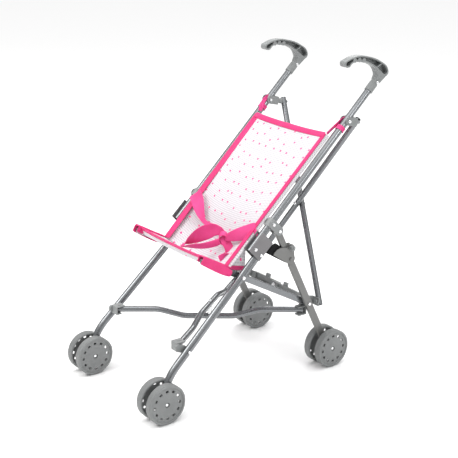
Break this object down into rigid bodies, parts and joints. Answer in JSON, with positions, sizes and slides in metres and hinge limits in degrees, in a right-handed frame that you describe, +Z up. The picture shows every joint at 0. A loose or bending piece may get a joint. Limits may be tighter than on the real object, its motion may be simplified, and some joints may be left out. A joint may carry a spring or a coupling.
{
  "type": "doll stroller",
  "caption": "Folding umbrella doll stroller with hooked handles, sling seat with a two-strap harness, crossed rear brace and twin wheels.",
  "frame": {"origin": "on the floor under the middle of the outline, with the stroller open", "axes": "+Z up, the front wheels towards -Y, +X on the seated doll's left"},
  "size_m": [0.273, 0.5128, 0.5542],
  "materials": {
    "tube_paint": "satin silver-grey paint on thin steel tube",
    "flat_bar_paint": "satin grey paint on flat bar",
    "fastener_steel": "bright zinc plate, low domes",
    "wheel_plastic": "mid grey moulded plastic, fine tread lines",
    "grip_plastic": "mid grey moulded plastic",
    "joint_plastic": "darker grey moulded plastic",
    "dark_plastic": "near-black moulded plastic",
    "bracket_plastic": "grey moulded plastic",
    "seat_mesh": "white knitted mesh with scattered pink specks",
    "seat_binding": "pink woven binding and webbing"
  },
  "bodies": {
    "leg_left": {"leg_tube_left": "tube_paint", "sleeve_left": "joint_plastic", "leg_bolts_left": "fastener_steel", "front_axle_left": "fastener_steel"},
    "upper_left": {"upper_tube_left": "tube_paint", "handle_tube_left": "tube_paint", "grip_left": "grip_plastic", "collar_left": "bracket_plastic", "upper_bolts_left": "fastener_steel", "seat_cloth": "seat_mesh"},
    "link_left": {"upper_link_left": "flat_bar_paint", "lock_fan_left": "dark_plastic"},
    "rail_left": {"side_rail_left": "tube_paint", "rail_bolt_left": "fastener_steel"},
    "rear_leg_left": {"rear_leg_left": "flat_bar_paint", "lock_plates_left": "flat_bar_paint", "lock_knob_left": "bracket_plastic", "rear_axle_left": "fastener_steel"},
    "front_clevis_left": {"front_clevis_left": "bracket_plastic"},
    "rear_clevis_left": {"rear_clevis_left": "bracket_plastic"},
    "rear_bracket_left": {"rear_bracket_left": "bracket_plastic"},
    "top_bracket_left": {"top_bracket_left": "bracket_plastic"},
    "spreader_left": {"spreader_left": "bracket_plastic", "spreader_pin": "fastener_steel"},
    "front_wheel_left_outer": {"front_wheel_left_outer": "wheel_plastic"},
    "front_wheel_left_inner": {"front_wheel_left_inner": "wheel_plastic"},
    "rear_wheel_left_outer": {"rear_wheel_left_outer": "wheel_plastic"},
    "rear_wheel_left_inner": {"rear_wheel_left_inner": "wheel_plastic"},
    "leg_right": {"leg_tube_right": "tube_paint", "sleeve_right": "joint_plastic", "leg_bolts_right": "fastener_steel", "front_axle_right": "fastener_steel"},
    "upper_right": {"upper_tube_right": "tube_paint", "handle_tube_right": "tube_paint", "grip_right": "grip_plastic", "collar_right": "bracket_plastic", "upper_bolts_right": "fastener_steel"},
    "link_right": {"upper_link_right": "flat_bar_paint", "lock_fan_right": "dark_plastic"},
    "rail_right": {"side_rail_right": "tube_paint", "rail_bolt_right": "fastener_steel"},
    "rear_leg_right": {"rear_leg_right": "flat_bar_paint", "lock_plates_right": "flat_bar_paint", "lock_knob_right": "bracket_plastic", "rear_axle_right": "fastener_steel"},
    "front_clevis_right": {"front_clevis_right": "bracket_plastic"},
    "rear_clevis_right": {"rear_clevis_right": "bracket_plastic"},
    "rear_bracket_right": {"rear_bracket_right": "bracket_plastic"},
    "top_bracket_right": {"top_bracket_right": "bracket_plastic"},
    "spreader_right": {"spreader_right": "bracket_plastic"},
    "front_wheel_right_outer": {"front_wheel_right_outer": "wheel_plastic"},
    "front_wheel_right_inner": {"front_wheel_right_inner": "wheel_plastic"},
    "rear_wheel_right_outer": {"rear_wheel_right_outer": "wheel_plastic"},
    "rear_wheel_right_inner": {"rear_wheel_right_inner": "wheel_plastic"},
    "brace_front": {"brace_bar_left": "tube_paint", "brace_bolt": "fastener_steel"},
    "brace_rear": {"brace_bar_right": "tube_paint"},
    "cross_high": {"cross_bar_left": "tube_paint", "cross_bolt": "fastener_steel"},
    "cross_low": {"cross_bar_right": "tube_paint"}
  },
  "joints": [
    {"name": "fold", "type": "hinge", "parent": "leg_left", "child": "upper_left", "pos_m": [0.108, -0.03112, 0.2554], "axis": [1, 0, 0], "range_deg": [0, 102.2], "deforming": ["seat_cloth"]},
    {"name": "rail_pivot_left", "type": "hinge", "parent": "leg_left", "child": "rail_left", "pos_m": [0.108, -0.05499, 0.21027], "axis": [1, 0, 0], "range_deg": [0, 55.01]},
    {"name": "rear_leg_pivot_left", "type": "hinge", "parent": "rail_left", "child": "rear_leg_left", "pos_m": [0.108, 0.09268, 0.12706], "axis": [1, 0, 0], "range_deg": [-7.62, 0]},
    {"name": "rear_clevis_pivot_left", "type": "hinge", "parent": "rail_left", "child": "rear_clevis_left", "pos_m": [0.091, 0.09268, 0.12706], "axis": [1, 0, 0], "range_deg": [-24.97, 0]},
    {"name": "rear_bracket_pivot_left", "type": "hinge", "parent": "rail_left", "child": "rear_bracket_left", "pos_m": [0.086, 0.09268, 0.12706], "axis": [1, 0, 0], "range_deg": [0, 28.8]},
    {"name": "front_clevis_pivot_left", "type": "hinge", "parent": "leg_left", "child": "front_clevis_left", "pos_m": [0.104, -0.16796, 0.10783], "axis": [1, 0, 0], "range_deg": [0, 30.05]},
    {"name": "link_pivot_left", "type": "hinge", "parent": "upper_left", "child": "link_left", "pos_m": [0.108, 0.02003, 0.27705], "axis": [1, 0, 0], "range_deg": [-26.42, 0]},
    {"name": "spreader_pivot_left", "type": "hinge", "parent": "rear_bracket_left", "child": "spreader_left", "pos_m": [0.078, 0.09268, 0.12706], "axis": [0, 0.9728, -0.2318], "range_deg": [0, 83.77]},
    {"name": "rail_pivot_right", "type": "hinge", "parent": "leg_right", "child": "rail_right", "pos_m": [-0.108, -0.05499, 0.21027], "axis": [1, 0, 0], "range_deg": [0, 55.01]},
    {"name": "rear_leg_pivot_right", "type": "hinge", "parent": "rail_right", "child": "rear_leg_right", "pos_m": [-0.108, 0.09268, 0.12706], "axis": [1, 0, 0], "range_deg": [-7.62, 0]},
    {"name": "rear_clevis_pivot_right", "type": "hinge", "parent": "rail_right", "child": "rear_clevis_right", "pos_m": [-0.091, 0.09268, 0.12706], "axis": [1, 0, 0], "range_deg": [-24.97, 0]},
    {"name": "rear_bracket_pivot_right", "type": "hinge", "parent": "rail_right", "child": "rear_bracket_right", "pos_m": [-0.086, 0.09268, 0.12706], "axis": [1, 0, 0], "range_deg": [0, 28.8]},
    {"name": "front_clevis_pivot_right", "type": "hinge", "parent": "leg_right", "child": "front_clevis_right", "pos_m": [-0.104, -0.16796, 0.10783], "axis": [1, 0, 0], "range_deg": [0, 30.05]},
    {"name": "link_pivot_right", "type": "hinge", "parent": "upper_right", "child": "link_right", "pos_m": [-0.108, 0.02003, 0.27705], "axis": [1, 0, 0], "range_deg": [-26.42, 0]},
    {"name": "spreader_pivot_right", "type": "hinge", "parent": "rear_bracket_right", "child": "spreader_right", "pos_m": [-0.078, 0.09268, 0.12706], "axis": [0, 0.9728, -0.2318], "range_deg": [-83.77, 0]},
    {"name": "top_bracket_pivot_left", "type": "hinge", "parent": "upper_left", "child": "top_bracket_left", "pos_m": [0.108, 0.16836, 0.4447], "axis": [1, 0, 0], "range_deg": [-18.41, 0]},
    {"name": "brace_top_left", "type": "hinge", "parent": "top_bracket_left", "child": "brace_front", "pos_m": [0.106, 0.16836, 0.4447], "axis": [0, 0.9728, -0.2318], "range_deg": [-21.41, 0]},
    {"name": "brace_crossing", "type": "hinge", "parent": "brace_front", "child": "brace_rear", "pos_m": [0, 0.12885, 0.27884], "axis": [0, 0.9728, -0.2318], "range_deg": [0, 42.81]},
    {"name": "brace_top_right", "type": "hinge", "parent": "brace_rear", "child": "top_bracket_right", "pos_m": [-0.106, 0.16836, 0.4447], "axis": [0, 0.9728, -0.2318], "range_deg": [-21.41, 0]},
    {"name": "top_bracket_pivot_right", "type": "hinge", "parent": "top_bracket_right", "child": "upper_right", "pos_m": [-0.108, 0.16836, 0.4447], "axis": [1, 0, 0], "range_deg": [0, 18.41]},
    {"name": "upper_pivot_right", "type": "hinge", "parent": "upper_right", "child": "leg_right", "pos_m": [-0.108, -0.03112, 0.2554], "axis": [1, 0, 0], "range_deg": [-102.21, 0]},
    {"name": "cross_front_left", "type": "hinge", "parent": "front_clevis_left", "child": "cross_high", "pos_m": [0.09373, -0.17146, 0.11343], "axis": [0, 0.0044, 1], "range_deg": [-27.37, 0]},
    {"name": "cross_crossing", "type": "hinge", "parent": "cross_high", "child": "cross_low", "pos_m": [0, -0.04304, 0.11287], "axis": [0, 0.0044, 1], "range_deg": [0, 54.74]},
    {"name": "front_wheel_left_outer_spin", "type": "hinge", "parent": "leg_left", "child": "front_wheel_left_outer", "pos_m": [0.1295, -0.22177, 0.0346], "axis": [1, 0, 0], "continuous": true},
    {"name": "front_wheel_left_inner_spin", "type": "hinge", "parent": "leg_left", "child": "front_wheel_left_inner", "pos_m": [0.1015, -0.22177, 0.0346], "axis": [1, 0, 0], "continuous": true},
    {"name": "rear_wheel_left_outer_spin", "type": "hinge", "parent": "rear_leg_left", "child": "rear_wheel_left_outer", "pos_m": [0.122, 0.13747, 0.0346], "axis": [1, 0, 0], "continuous": true},
    {"name": "rear_wheel_left_inner_spin", "type": "hinge", "parent": "rear_leg_left", "child": "rear_wheel_left_inner", "pos_m": [0.094, 0.13747, 0.0346], "axis": [1, 0, 0], "continuous": true},
    {"name": "front_wheel_right_outer_spin", "type": "hinge", "parent": "leg_right", "child": "front_wheel_right_outer", "pos_m": [-0.1295, -0.22177, 0.0346], "axis": [1, 0, 0], "continuous": true},
    {"name": "front_wheel_right_inner_spin", "type": "hinge", "parent": "leg_right", "child": "front_wheel_right_inner", "pos_m": [-0.1015, -0.22177, 0.0346], "axis": [1, 0, 0], "continuous": true},
    {"name": "rear_wheel_right_outer_spin", "type": "hinge", "parent": "rear_leg_right", "child": "rear_wheel_right_outer", "pos_m": [-0.122, 0.13747, 0.0346], "axis": [1, 0, 0], "continuous": true},
    {"name": "rear_wheel_right_inner_spin", "type": "hinge", "parent": "rear_leg_right", "child": "rear_wheel_right_inner", "pos_m": [-0.094, 0.13747, 0.0346], "axis": [1, 0, 0], "continuous": true}
  ],
  "couplings": [
    {"joint": "rail_pivot_left", "follows": "fold", "ratio": 0.53817},
    {"joint": "rear_leg_pivot_left", "follows": "fold", "ratio": -0.074454},
    {"joint": "rear_clevis_pivot_left", "follows": "fold", "ratio": -0.24419},
    {"joint": "rear_bracket_pivot_left", "follows": "fold", "ratio": 0.28175},
    {"joint": "front_clevis_pivot_left", "follows": "fold", "ratio": 0.29398},
    {"joint": "link_pivot_left", "follows": "fold", "ratio": -0.25841},
    {"joint": "spreader_pivot_left", "follows": "fold", "ratio": 0.81953},
    {"joint": "rail_pivot_right", "follows": "fold", "ratio": 0.53817},
    {"joint": "rear_leg_pivot_right", "follows": "fold", "ratio": -0.074454},
    {"joint": "rear_clevis_pivot_right", "follows": "fold", "ratio": -0.24419},
    {"joint": "rear_bracket_pivot_right", "follows": "fold", "ratio": 0.28175},
    {"joint": "front_clevis_pivot_right", "follows": "fold", "ratio": 0.29398},
    {"joint": "link_pivot_right", "follows": "fold", "ratio": -0.25841},
    {"joint": "spreader_pivot_right", "follows": "fold", "ratio": -0.81953},
    {"joint": "top_bracket_pivot_left", "follows": "fold", "ratio": -0.18008},
    {"joint": "brace_top_left", "follows": "fold", "ratio": -0.20938},
    {"joint": "brace_crossing", "follows": "fold", "ratio": 0.41876},
    {"joint": "brace_top_right", "follows": "fold", "ratio": -0.20938},
    {"joint": "top_bracket_pivot_right", "follows": "fold", "ratio": 0.18008},
    {"joint": "upper_pivot_right", "follows": "fold", "ratio": -1},
    {"joint": "cross_front_left", "follows": "fold", "ratio": -0.26774},
    {"joint": "cross_crossing", "follows": "fold", "ratio": 0.53549}
  ]
}
